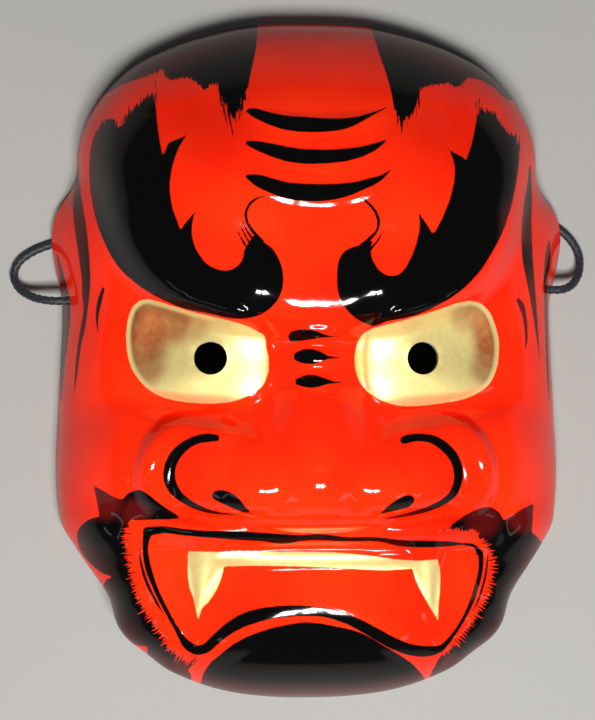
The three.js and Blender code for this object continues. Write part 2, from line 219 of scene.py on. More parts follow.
def evenly(line, step):
    """The same line with its points about step apart."""
    far = np.concatenate([[0], np.cumsum(np.linalg.norm(np.diff(line, axis=0), axis=1))])
    places = np.linspace(0, far[-1], max(2, round(far[-1] / step) + 1))
    return np.column_stack([np.interp(places, far, line[:, k]) for k in range(line.shape[1])]), far[-1]


def side_vectors(line):
    """Two directions square to a line at each of its points, that don't twist along it."""
    along = unit(np.gradient(line, axis=0))
    sides = [unit(np.cross(along[0], (0, 0, 1)))]
    for direction in along[1:]:
        sides.append(unit(sides[-1] - direction * (sides[-1] @ direction)))
    sides = np.array(sides)
    return sides, np.cross(along, sides)


def tube(line, radius_a, radius_b, sides, normal_a, normal_b):
    """A closed tube of oval section along a line: its vertices and faces."""
    angle = np.arange(sides) * 2 * np.pi / sides
    rings = (
        line[:, None, :]
        + radius_a * np.cos(angle)[None, :, None] * normal_a[:, None, :]
        + radius_b * np.sin(angle)[None, :, None] * normal_b[:, None, :]
    )
    faces = [
        (r * sides + k, r * sides + (k + 1) % sides, (r + 1) * sides + (k + 1) % sides, (r + 1) * sides + k)
        for r in range(len(line) - 1) for k in range(sides)
    ]
    faces.append(tuple(range(sides))[::-1])
    faces.append(tuple((len(line) - 1) * sides + k for k in range(sides)))
    return rings.reshape(-1, 3), faces


# Cord: a round braid of eight strands, four each way, with sizes in shares of its diameter

STRANDS_EACH_WAY = 4
BRAID_PITCH = 3.4
CORE_RADIUS = 0.36
CORE_SIDES = 8
STRAND_RADIUS = 0.2
STRAND_FLATNESS = 0.46
STRAND_LIFT = 0.055
STRAND_SIDES = 6
STRAND_STEPS_PER_TURN = 16
CORD_STEPS = 12


def braid(name, line, diameter):
    """A braided cord along a line in millimetres, as a mesh of its strands about a core."""
    turn = BRAID_PITCH * diameter
    line, length = evenly(line, turn / STRAND_STEPS_PER_TURN)
    side_a, side_b = side_vectors(line)
    phase = 2 * np.pi * np.linspace(0, length, len(line)) / turn
    strand = STRAND_RADIUS * diameter
    core = CORE_RADIUS * diameter
    vertices, faces = tube(line, core, core, CORE_SIDES, side_a, side_b)
    vertices, start = [vertices], len(vertices)
    for way in (1, -1):
        for k in range(STRANDS_EACH_WAY):
            angle = way * phase + 2 * np.pi * k / STRANDS_EACH_WAY
            reach = diameter * (CORE_RADIUS + STRAND_LIFT * way * np.cos(STRANDS_EACH_WAY * phase))
            outward = np.cos(angle)[:, None] * side_a + np.sin(angle)[:, None] * side_b
            middle = line + reach[:, None] * outward
            run = unit(np.gradient(middle, axis=0))
            across = unit(np.cross(run, outward))
            more, more_faces = tube(
                middle, STRAND_FLATNESS * strand, strand, STRAND_SIDES, np.cross(across, run), across
            )
            vertices.append(more)
            faces += [tuple(i + start for i in face) for face in more_faces]
            start += len(more)
    obj = mesh_object(name, np.vstack(vertices) * MM, faces)
    smooth(obj, 60)
    return obj, length


def cord_line():
    """The cord's middle line from the mouth of one hole to the other's, in millimetres."""
    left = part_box("cord_knot_left")[0][0] / MM - TOUCH_GAP
    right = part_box("cord_knot_right")[1][0] / MM + TOUCH_GAP
    ends = [(x, y, z) for x, (_, y, z) in zip((left, right), CORD_HOLES.values())]
    return curve_through([ends[0], *CORD_ROUTE, ends[1]], CORD_STEPS)


# The overhand knot in millimetres: how far its middle lies behind the tail, its half length and
# the size and drop of its loops; how far the cord goes straight in; then the tail's places back
# from its end, aside and down; the knot's cord is a little tighter than the loose one
KNOT = {
    "behind_tail": 3.4, "half_length": 1.55, "loop": 0.62, "drop": 0.2, "straight": 3,
    "tail": [(2.6, 0.2, 0.3), (0, 0.5, 0.9)], "tightness": 0.86, "open_angle": 0.62, "points": 26, "steps": 4,
}


def stopper_knot(name, node, hole):
    """The cord's end: through the wall, tied in an overhand knot, with a short tail."""
    side, y, z = hole
    low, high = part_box(node)
    outer = (low[0] if side < 0 else high[0]) / MM
    inner = (high[0] if side < 0 else low[0]) / MM
    inward = np.sign(inner - outer)
    turns = np.linspace(KNOT["open_angle"], 2 * np.pi - KNOT["open_angle"], KNOT["points"])
    loops = np.column_stack([
        -inward * KNOT["half_length"] * np.cos(turns),
        KNOT["loop"] * (np.sin(turns) + 2 * np.sin(2 * turns)),
        KNOT["loop"] * (np.cos(turns) - 2 * np.cos(2 * turns)) - KNOT["drop"],
    ]) + (inner - inward * (KNOT_TAIL + KNOT["behind_tail"]), y, z)
    way = np.vstack([
        [(outer, y, z), (outer + inward * KNOT["straight"], y, z)],
        loops,
        [(inner - inward * back, y - aside, z - down) for back, aside, down in KNOT["tail"]],
    ])
    piece, _ = braid(name, curve_through(way, KNOT["steps"]), CORD_DIAMETER * KNOT["tightness"])
    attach(piece, "root")
    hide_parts(node)
    return piece


route = cord_line()
head_cord, cord_length = braid("braided_head_cord", route, CORD_DIAMETER)
knots = [
    stopper_knot("overhand_knot_" + name, "cord_knot_" + name, hole) for name, hole in CORD_HOLES.items()
]
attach(head_cord, "root")
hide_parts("head_cord")


# Form of the face, in hundredths of the half width, the half height and the dome's depth

ACROSS = MASK_WIDTH / 200
ALONG = MASK_HEIGHT / 200
DEEP = DOME_DEPTH / 100

RIM_OUTLINE = [
    (0, 100), (33, 97.8), (55.5, 92.5), (68, 87.5), (79.5, 79), (86.8, 70.3), (90.2, 61.4), (90.6, 54.5),
    (93, 49.5), (98, 43.5), (100, 37), (98.8, 28), (96.4, 17), (96.8, 2), (98, -16), (98.8, -30), (97.9, -43),
    (96.2, -48.5), (90, -53.8), (79, -62.6), (69.8, -74), (56.5, -85.6), (37, -95.5), (16, -99.4), (0, -100),
]
FACE_OUTLINE = [
    (0, 96.6), (33, 94.6), (54.5, 89.2), (70, 83.1), (80.3, 74.8), (87, 64.3), (87, 51), (87.2, 41), (89, 30),
    (91, 12), (93, -14), (95, -37.6), (94.3, -50.5), (87.8, -64.1), (81.6, -71.7), (80, -81.2), (75.8, -86.1),
    (67.1, -89.7), (58.3, -93.9), (46.8, -96), (33, -96.8), (15, -96.5), (0, -96),
]

# Mounds and hollows: place, how far they reach across, up and down, rise, and how soft they are
MOUNDS = {
    "forehead": ((0, 50), (92, 52, 52), 20, 2),
    "temple balls": ((38, 46), (30, 26, 26), 7, 2),
    "between the brows": ((0, 15), (46, 30, 12), 5, 2),
    "eye sockets": ((42, 0), (40, 27, 27), -15, 2),
    "cheeks": ((70, -27), (26, 18, 20), 10, 2),
    "upper jaw lobes": ((81, -47), (12, 9, 9), 5, 2),
    "middle jaw lobes": ((72, -65), (12, 9, 9), 5, 2),
    "lower jaw lobes": ((56, -79), (13, 8, 8), 5, 2),
    "muzzle": ((0, -37), (66, 30.5, 8.7), 14, 1.3),
    "nose wings": ((34, -33.5), (23, 18, 10.5), 11, 1.3),
    "nose tip": ((0, -41), (34, 37, 6), 13, 1.1),
    "chin": ((0, -84), (54, 34, 16), 15, 1.2),
}

# Ridges and grooves along a line: the half widths on its two sides, the rise along it, and softness
RIDGES = {
    "nose bridge": ([(0, 10), (0, 3), (0, -8), (0, -20), (0, -30)], 17, 17, [0, 5, 9, 11, 7], 1.4),
    "brows": (
        [(0, 12.6), (12, 13.4), (24, 14.8), (36, 15.8), (48, 18.8), (59, 25), (67, 34), (71.5, 45), (73, 57),
         (71, 70)],
        27, 12, [6, 8, 15, 18, 18, 17, 15, 12, 8, 3], 2.2,
    ),
    "under the eyes": (
        [(22, -15.4), (34, -14.2), (46, -13.6), (57, -12.5), (68, -10.6), (79, -9)],
        6, 6, [0, -4, -5, -4, -2, 0], 1.4,
    ),
    "cheek folds": (
        [(30, -16.5), (38, -16.5), (50, -17.8), (57, -21.5), (61, -28), (61, -36), (55, -43)],
        5.5, 9, [1, 5, 7, 8, 8, 6, 2], 1.4,
    ),
    "upper lip": ([(0, -46.2), (20, -46.2), (36, -46), (52, -46), (66, -47)], 5, 7.5, [7, 7, 8, 6, 2], 1.4),
    "lower lip": ([(0, -70), (16, -71), (32, -77), (44, -83)], 9, 9, [0, 1, 3, 2], 1.4),
}
EYEBALL = {
    "at": (42, 2.5), "radii": (26, 14.6), "rise": 15, "squareness": 2.8, "slant": 0.1, "roundness": 0.75,
}
EYE_FALL = {"from": -10, "to": 26, "much": 11}
PUPIL = (38.6, 0.8)
EYELID = {"width": 0.16, "rise": 1.4}
MOUTH = {
    "top": -50, "bottom": -63, "drop": 16, "corner": (61, 44), "corner_along": (-48, -80), "soft": 8,
    "depth": 4.5,
}
TEETH = {"along": (-52, -55.6), "across": 45, "soft": 1.8, "rise": 2.6}
FANG = {
    "root": (40, -52), "tip": (43.5, -71), "half_width": 7.4, "rise": 4.5, "rooting": 0.2, "softness": 1.4,
}
FOREHEAD_WELTS = {"middles": (63.6, 53.8, 44.2), "curl": 4.2, "length": 26, "thickness": 3.4, "rise": 1.5}
NOSE_WELTS = {"middles": (7.2, 1, -5.6), "curl": 0, "length": 7.6, "thickness": 2.6, "rise": 2.2}

SECTION_POWER = 2.5
FLARE_POWER = 2
CARVING_FADE = 0.3
BACK_FILL = 4.5
ARCH = {"middle": 38, "length": 21, "narrowing": 4}

# Fineness of the two sides of the wall, how much the steep sides count in sharing out rows, the
# steps of that count and along a ridge, and where in the disc the rim's level normals begin
FACE_CELLS = (256, 336)
BACK_CELLS = (72, 92)
STEEP_SHARE = 0.6
NORMAL_STEP = 0.02
ROW_STEPS = 600
RIDGE_STEPS = 6
AT_RIM = 1 - 1e-6


def smoothstep(low, high, t):
    s = np.clip((t - low) / (high - low), 0, 1)
    return s * s * (3 - 2 * s)


def through(t, v):
    """A smooth curve through values v at places t, as a function of arrays."""
    t, v = np.array(t, float), np.array(v, float)
    i = np.arange(len(t))
    before, after = np.maximum(i - 1, 0), np.minimum(i + 1, len(t) - 1)
    slope = (v[after] - v[before]) / (t[after] - t[before])

    def at(place):
        k = np.clip(np.searchsorted(t, place) - 1, 0, len(t) - 2)
        span = t[k + 1] - t[k]
        s = (place - t[k]) / span
        ends = v[k] * (1 + 2 * s) * (1 - s) ** 2 + v[k + 1] * s * s * (3 - 2 * s)
        return ends + span * s * (1 - s) * (slope[k] * (1 - s) - slope[k + 1] * s)

    return at


def outline_reach(points):
    """An outline's reach, in shares of the half width and half height, by the angle from level."""
    x, y = np.array(points, float)[::-1].T
    angle, reach = np.arctan2(y, x), np.hypot(x, y) / 100
    angle = np.concatenate([[2 * angle[0] - angle[1]], angle, [2 * angle[-1] - angle[-2]]])
    return through(angle, np.concatenate([[reach[1]], reach, [reach[-2]]]))


rim_reach = outline_reach(RIM_OUTLINE)
face_reach = outline_reach(FACE_OUTLINE)


def mound(x, y, place, radii, rise, softness):
    dx, dy = x / ACROSS - place[0], y / ALONG - place[1]
    q = (dx / radii[0]) ** 2 + (dy / np.where(dy > 0, radii[1], radii[2])) ** 2
    return rise * DEEP * np.maximum(0, 1 - q) ** softness


def nearest_on(line, x, y):
    """For each place: how far a line is, how far along it, in points, and on which side, -1 to 1."""
    far = np.full(x.shape, np.inf)
    along, side = np.zeros(x.shape), np.zeros(x.shape)
    for i, (a, b) in enumerate(zip(line, line[1:])):
        dx, dy = b[0] - a[0], b[1] - a[1]
        length = math.hypot(dx, dy) or TINY
        t = np.clip(((x - a[0]) * dx + (y - a[1]) * dy) / length ** 2, 0, 1)
        d = np.hypot(x - a[0] - t * dx, y - a[1] - t * dy)
        offset = (dx * (y - a[1]) - dy * (x - a[0])) / length
        nearer = d < far
        far = np.where(nearer, d, far)
        along = np.where(nearer, i + t, along)
        side = np.where(nearer, offset / np.maximum(d, TINY), side)
    return far, along, side


def ridge(x, y, line, inner, outer, rise, softness):
    curve = curve_through(np.array(line, float) * (ACROSS, ALONG), RIDGE_STEPS)
    far, along, side = nearest_on(curve, x, y)
    rises = through(np.linspace(0, 1, len(rise)), np.array(rise, float) * DEEP)(along / (len(curve) - 1))
    width = (inner + outer + side * (inner - outer)) / 2 * ACROSS
    return rises * np.maximum(0, 1 - (far / width) ** 2) ** softness


def eye(x, y):
    """The eyeball as a squared pillow with a low lid round it."""
    dx = x / ACROSS - EYEBALL["at"][0]
    dy = y / ALONG - EYEBALL["at"][1] - EYEBALL["slant"] * dx
    power = EYEBALL["squareness"]
    q = np.abs(dx / EYEBALL["radii"][0]) ** power + np.abs(dy / EYEBALL["radii"][1]) ** power
    fall = EYE_FALL["much"] * smoothstep(EYE_FALL["from"], EYE_FALL["to"], dx + dy)
    pillow = (EYEBALL["rise"] - fall) * np.maximum(0, 1 - q) ** EYEBALL["roundness"]
    return DEEP * (pillow + EYELID["rise"] * np.exp(-(((q - 1) / (EYELID["width"] * power)) ** 2)))


def mouth_hollow(x, y):
    px, py = x / ACROSS, y / ALONG
    top, low = MOUTH["corner_along"]
    side = MOUTH["corner"][0] + (top - py) / (top - low) * (MOUTH["corner"][1] - MOUTH["corner"][0])
    floor = MOUTH["bottom"] - MOUTH["drop"] * (px / MOUTH["corner"][1]) ** 2
    inside = 1
    for edge in (MOUTH["top"] - py, py - floor, side - px):
        inside = inside * smoothstep(-MOUTH["soft"], MOUTH["soft"], edge)
    return -MOUTH["depth"] * DEEP * inside


def teeth(x, y):
    """The row of teeth and the fang at its end."""
    px, py = x / ACROSS, y / ALONG
    row = TEETH["rise"]
    for edge in (TEETH["along"][0] - py, py - TEETH["along"][1], TEETH["across"] - px):
        row = row * smoothstep(-TEETH["soft"], TEETH["soft"], edge)
    down = (FANG["root"][1] - py) / (FANG["root"][1] - FANG["tip"][1])
    middle = FANG["root"][0] + down * (FANG["tip"][0] - FANG["root"][0])
    taper = np.maximum(0, 1 - down)
    s = np.minimum(1, np.abs(px - middle) / np.maximum(TINY, FANG["half_width"] * taper))
    fang = FANG["rise"] * (1 - s * s) ** FANG["softness"] * smoothstep(-FANG["rooting"], 0, down)
    return DEEP * np.maximum(row, fang * np.minimum(1, taper))


def welts(x, y, middles, curl, length, thickness, rise):
    """Raised wrinkles that taper to both ends."""
    s = np.minimum(1, np.abs(x / ACROSS) / length)
    heights = [
        rise * np.maximum(0, 1 - s ** 3 - ((y / ALONG - middle - curl * s * s) / thickness) ** 2)
        for middle in middles
    ]
    return DEEP * np.max(heights, axis=0)


def mould_height(x, y, dome):
    """The big forms that the paper was pressed over, on one side of the face."""
    z = dome + mouth_hollow(x, y) + eye(x, y)
    for form in MOUNDS.values():
        z = z + mound(x, y, *form)
    for form in RIDGES.values():
        z = z + ridge(x, y, *form)
    return z


def face_height(x, y, dome):
    return mould_height(x, y, dome) + teeth(x, y) + welts(x, y, **FOREHEAD_WELTS) + welts(x, y, **NOSE_WELTS)


def back_height(x, y, dome):
    """The mould with its narrow creases filled out, for the inside of the wall."""
    heights = [mould_height(x, y, dome)]
    for angle in np.arange(8) * math.pi / 4:
        across, along = BACK_FILL * math.cos(angle), BACK_FILL * math.sin(angle)
        heights.append(mould_height(np.abs(x + across), y + along, dome))
    return np.min(heights, axis=0)


def arch_lift(y):
    """How far the rim is lifted at the temples, where the cord passes under it."""
    s = (y / ALONG - ARCH["middle"]) / ARCH["length"]
    return ARCH_HEIGHT * np.maximum(0, 1 - s ** 4) ** 2


turns = np.linspace(0, math.pi / 2, ROW_STEPS)
row_path = np.column_stack([
    MASK_WIDTH / 2 * np.sin(turns) ** (2 / SECTION_POWER),
    STEEP_SHARE * DOME_DEPTH * np.maximum(0, np.cos(turns)) ** (2 / SECTION_POWER),
])
row_shares = np.concatenate([[0], np.cumsum(np.linalg.norm(np.diff(row_path, axis=0), axis=1))])
row_shares /= row_shares[-1]


def surface(p, q, carved):
    """Points of the surface, by their places in a disc edged by the rim."""
    angle = np.arctan2(q, np.abs(p))
    turn = np.interp(np.minimum(1, np.hypot(p, q)), row_shares, turns)
    up = np.maximum(0, np.cos(turn)) ** (2 / SECTION_POWER)
    flare = (1 - up) ** FLARE_POWER
    reach = np.sin(turn) ** (2 / SECTION_POWER) * (face_reach(angle) * (1 - flare) + rim_reach(angle) * flare)
    x, y = reach * np.cos(angle) * MASK_WIDTH / 2, reach * np.sin(angle) * MASK_HEIGHT / 2
    dome = up * DOME_DEPTH
    carving = smoothstep(0, CARVING_FADE, up) * (carved(x, y, dome) - dome)
    lift = arch_lift(y) * (1 - up) ** ARCH["narrowing"]
    return np.column_stack([np.where(p < 0, -x, x), y, dome + carving + lift])


def back_surface(p, q):
    """The inside of the wall, one wall's thickness behind the mould."""
    scale = np.minimum(1, (1 - 2 * NORMAL_STEP) / np.maximum(NORMAL_STEP, np.hypot(p, q)))
    beside = [
        surface(p * scale + dp, q * scale + dq, back_height)
        for dp, dq in ((NORMAL_STEP, 0), (-NORMAL_STEP, 0), (0, NORMAL_STEP), (0, -NORMAL_STEP))
    ]
    normal = np.cross(beside[0] - beside[1], beside[2] - beside[3])
    normal[:, 2] *= np.hypot(p, q) < AT_RIM
    return surface(p, q, back_height) - WALL * unit(normal)


# Mesh of the mask: a sheet of squares for each side of the wall, laid over the form

def sheet(name, cells, place):
    """A grid of squares added at the origin, then laid over a form by place(p, q)."""
    bpy.ops.mesh.primitive_grid_add(x_subdivisions=cells[0], y_subdivisions=cells[1], size=2)
    obj = bpy.context.object
    obj.name = name
    u, v = mesh_points(obj, 1).T[:2]
    points = place(u * np.sqrt(1 - v * v / 2), v * np.sqrt(1 - u * u / 2))
    obj.data.vertices.foreach_set("co", (points * MM).ravel())
    obj.data.update()
    return obj


HOLES = [
    ((0, 1), (side * PUPIL[0] * ACROSS, PUPIL[1] * ALONG), EYE_HOLE_DIAMETER / 2, side) for side in (-1, 1)
] + [
    ((1, 2), (y, z), CORD_DIAMETER / 2 + CORD_HOLE_CLEARANCE, side) for side, y, z in CORD_HOLES.values()
]
# A cord hole's points lie further out than this, and an open edge's this near the hole's circle
SIDE_WALL = 60
EDGE_TOLERANCE = 0.01


def hole_offsets(co, plane, centre, side):
    """Offsets from a hole's axis in its own plane, and whether each point is near that hole."""
    offset = co[:, list(plane)] - centre
    return offset, (side * co[:, 0] > (SIDE_WALL if plane == (1, 2) else 0))


def cut_holes(obj):
    """Cut the eye and cord holes in one side of the wall, with round edges."""
    co = mesh_points(obj)
    faces = np.empty(len(obj.data.polygons) * 4, int)
    obj.data.polygons.foreach_get("vertices", faces)
    faces = faces.reshape(-1, 4)
    gone = np.zeros(len(co), bool)
    for plane, centre, radius, side in HOLES:
        offset, near = hole_offsets(co, plane, centre, side)
        far = np.hypot(*offset.T)
        inside = near & (far < radius)
        edge = np.zeros(len(co), bool)
        edge[faces[inside[faces].any(axis=1)]] = True
        edge &= ~inside
        moved = np.array(centre) + offset[edge] * (radius / far[edge])[:, None]
        co[np.ix_(edge.nonzero()[0], plane)] = moved
        gone |= inside
    obj.data.vertices.foreach_set("co", (co * MM).ravel())
    with editing(obj):
        bpy.ops.mesh.select_mode(type="VERT")
        bpy.ops.mesh.select_all(action="DESELECT")
    obj.data.vertices.foreach_set("select", gone)
    with editing(obj):
        bpy.ops.mesh.delete(type="VERT")


def bridge(obj, chosen):
    """Join two open edges of the wall's two sides: chosen(points) flags their points."""
    mesh = obj.data
    on = chosen(mesh_points(obj))
    with editing(obj):
        bpy.ops.mesh.select_mode(type="EDGE")
        bpy.ops.mesh.select_all(action="DESELECT")
        bpy.ops.mesh.select_non_manifold(
            extend=False, use_wire=False, use_boundary=True, use_multi_face=False,
            use_non_contiguous=False, use_verts=False,
        )
    open_edges = np.empty(len(mesh.edges), bool)
    mesh.edges.foreach_get("select", open_edges)
    ends = np.empty(len(mesh.edges) * 2, int)
    mesh.edges.foreach_get("vertices", ends)
    picked = open_edges & on[ends.reshape(-1, 2)].all(axis=1)
    for part in (mesh.vertices, mesh.edges, mesh.polygons):
        part.foreach_set("select", np.zeros(len(part), bool))
    mesh.edges.foreach_set("select", picked)
    with editing(obj):
        bpy.ops.mesh.bridge_edge_loops()


def mark(obj, name, values):
    """Keep a number for each point of a mesh."""
    attribute = obj.data.attributes.new(name, "FLOAT", "POINT")
    attribute.data.foreach_set("value", np.asarray(values, np.float32))


def build_mask():
    face = sheet("oni_mask", FACE_CELLS, lambda p, q: surface(p, q, face_height))
    back = sheet("mask_back", BACK_CELLS, back_surface)
    back.data.flip_normals()
    for obj, side in ((face, 1), (back, 0)):
        mark(obj, "face_side", np.full(len(obj.data.vertices), side))
        cut_holes(obj)
    mask = join([face, back], "oni_mask")
    for plane, centre, radius, side in HOLES:
        def on_edge(co):
            offset, near = hole_offsets(co, plane, centre, side)
            return near & (np.abs(np.hypot(*offset.T) - radius) < EDGE_TOLERANCE)
        bridge(mask, on_edge)
    bridge(mask, lambda co: np.ones(len(co), bool))
    with editing(mask):
        bpy.ops.mesh.select_all(action="SELECT")
        bpy.ops.mesh.normals_make_consistent(inside=False)
    smooth(mask, 50)
    return mask


mask = build_mask()


# Paint, set out on a painter's stencil: points right and down, in stencil units of 0.342 mm, as
# the face is seen from straight above. A shape is a list of runs: each run is one smooth
# curve that starts where the last one ends, and runs meet in corners.

FAR = 60
OUTLINE_STEPS = 5

BLACK_SHAPES = {
    "left hair": [
        [(256.5, 45), (252, 68), (248.5, 85), (246, 96), (244.5, 104)], [(240, 108), (237, 113), (235, 121)],
        [(231, 115), (228, 108), (222, 103)], [(218.5, 97), (217.5, 84)], [(210, 86), (204, 89)],
        [(198, 84), (190, 79), (180, 78.5), (171, 80), (165, 76), (162.5, 70)],
        [(150, 75), (135, 80), (120, 85), (104, 95), (60, 90), (120, 10), (258, 10)],
    ],
    "right hair": [
        [(374, 37), (380.5, 58), (387, 77), (391, 92), (394, 108), (397, 121)],
        [(401, 126), (405, 121), (412, 115), (417, 107), (420, 97)],
        [(421, 90), (434, 85.5), (447, 84), (455, 87), (461, 88)], [(464, 82), (467, 78)],
        [(480, 80), (494, 88), (509, 100), (560, 90), (480, 10), (366, 10)],
    ],
    "left brow": [
        [(156, 100), (157, 120), (160, 141), (163, 157)],
        [(165.5, 150), (168, 143.5), (175, 140), (182, 137.5), (189, 132)],
        [(183, 141), (178, 150), (174, 161), (171, 175), (170, 190), (172.5, 207), (176, 217),
         (180.5, 229.5)],
        [(185, 223), (191, 216), (195, 211), (200, 204)],
        [(195, 214), (192.5, 224), (192, 234), (195, 246), (201, 257), (209, 265), (219, 269.5), (229, 270),
         (237, 266), (242.5, 259), (244, 250)],
        [(250, 240), (257, 233), (262, 241)],
        [(272, 248), (279, 259), (283, 272), (283, 286), (279, 298), (271, 308), (259, 315.5), (243, 319),
         (225, 317.5), (205, 313), (185, 309), (165, 301), (148, 292), (134, 282), (120, 269), (109, 252),
         (100, 232), (94, 212), (90.5, 192), (89, 172), (90, 153), (93, 138), (98, 127)],
        [(106, 119), (114, 119), (119, 125), (126, 116), (135, 105), (145, 97.5), (155.5, 91)], [(155.5, 81)],
    ],
    "right brow": [
        [(477, 115), (474.5, 130), (470.5, 147), (466, 160)], [(460, 155.5), (453, 152), (446.5, 145.5)],
        [(452, 157), (454.5, 167), (454, 180), (450.5, 196), (445, 211), (439, 224), (433, 234.5)],
        [(428, 226), (423, 218), (417.5, 209)],
        [(419.5, 224), (417, 240), (411.5, 256), (405, 268), (398, 274.5), (389, 275.5), (381, 271.5),
         (375, 264), (371.5, 255), (371, 246)],
        [(373, 241), (368, 241), (360, 245)],
        [(351, 247.5), (343.5, 252), (339, 259), (337, 271), (337, 285), (339.5, 298), (346, 309), (355, 318),
         (366, 324), (375, 326), (387, 321.5), (402, 319), (420, 314), (437, 306), (452, 297.5), (467, 285.5),
         (481, 270), (492, 253), (502, 234), (509.5, 213), (514.5, 193), (518, 172), (519.5, 152),
         (518, 137)],
        [(509, 131), (502, 125), (496, 115), (487, 110), (478, 106)], [(478, 99)],
    ],
    "left nostril": [
        [(244, 512.5), (233, 508.5), (222, 503.5), (213, 498.5), (212, 493.5), (217, 490.3), (224, 490.3),
         (232, 493), (239, 498.5), (246, 507), (254.5, 515)],
    ],
    "right nostril": [
        [(386, 513), (397, 510.5), (409, 507), (414, 502.5), (414.5, 498), (410, 495), (403, 496), (396, 500),
         (389, 505), (382, 511.5), (376, 516)],
    ],
    "chin": [
        [(203.5, 673), (210, 663), (220, 654.5), (231, 645.5), (245, 637.5), (260, 631.5), (275, 627),
         (290, 624), (305, 622), (322, 623.5), (340, 627), (355, 630.5), (370, 637), (385, 646), (400, 655),
         (412, 663.5), (421, 673), (428, 684)],
        [(440, 720), (190, 720), (200, 686)],
    ],
    "left beard": [
        [(104, 491), (113, 496.5), (122, 499.5)],
        [(127, 494), (133, 491), (140.5, 490), (148, 494), (157, 501), (168, 509), (183.5, 518.5)],
        [(168, 519.5), (150, 520), (135, 521), (127.5, 525)],
        [(124, 538), (127, 552), (129, 566), (132, 580), (137, 596), (144, 610), (152, 622), (161, 636),
         (170, 649), (180, 658), (190, 663), (197, 659)],
        [(194, 668), (191, 680)], [(176, 690), (150, 668), (147, 647)],
        [(134, 644), (124, 636), (108, 630), (100, 600), (106, 580), (112.5, 577)],
        [(100, 572), (80, 550), (78, 530), (90, 519), (99.5, 516.5)], [(97, 502), (93.5, 485.5)],
    ],
    "right beard": [
        [(522, 509), (513, 514.5), (504, 520)],
        [(498, 511), (489, 507), (479, 508.5), (468, 513.5), (457, 520.5), (440, 533)],
        [(452, 529), (463, 531), (474, 531.5), (484, 538)],
        [(487, 546), (492, 556), (493, 570), (491, 584), (486, 598), (479, 611), (471, 624), (462, 636),
         (453, 646), (443, 656), (432, 670)],
        [(429, 682), (440, 690), (470, 672), (482, 650)], [(497, 645), (512, 632), (516, 612), (508.5, 598)],
        [(522, 590), (536, 580), (548, 556), (540, 540), (532, 532)], [(533, 516), (533.5, 503.5)],
    ],
}

GOLD_SHAPES = {
    "left eye": [
        [(148, 299.5), (157, 301.5), (172, 306), (190, 311.5), (210, 316.5), (230, 321), (246, 326),
         (257, 331.5), (264, 336), (266, 347), (268.5, 360), (267.5, 374), (262, 386), (250, 394.5),
         (235, 400.5), (218, 403), (200, 403), (180, 401), (163, 397), (150, 390), (139.5, 380), (131.5, 367),
         (127.5, 351), (126.5, 335), (128.5, 319), (133, 307), (140, 301)],
    ],
    "right eye": [
        [(480, 303.5), (489, 312), (495, 325.5), (498.5, 342), (498, 358), (495, 372), (488, 385), (477, 393),
         (462, 399), (441, 403), (420, 405.5), (401, 405.5), (386, 402), (373, 395.5), (362.5, 385.5),
         (356.5, 373), (355, 359), (357, 345), (362.5, 335), (372, 329), (386, 325), (402, 321), (421, 315.5),
         (440, 309.5), (455, 304), (470, 301)],
    ],
    "teeth": [
        [(205, 552), (240, 552), (300, 552), (340, 553), (370, 556), (400, 560), (420, 561), (437.5, 559.5)],
        [(440, 575), (439.5, 590), (438.5, 604), (438, 621)],
        [(432, 610), (425, 598), (418, 585), (414.5, 576), (412.5, 568.5)],
        [(385, 570), (350, 568.5), (320, 567), (290, 566), (255, 565.5), (224, 566)],
        [(220.5, 580), (215, 592), (208, 602), (202, 608), (198, 620)],
        [(196, 609), (193.5, 598), (189.5, 586), (188, 570), (188.5, 551.5)],
    ],
}

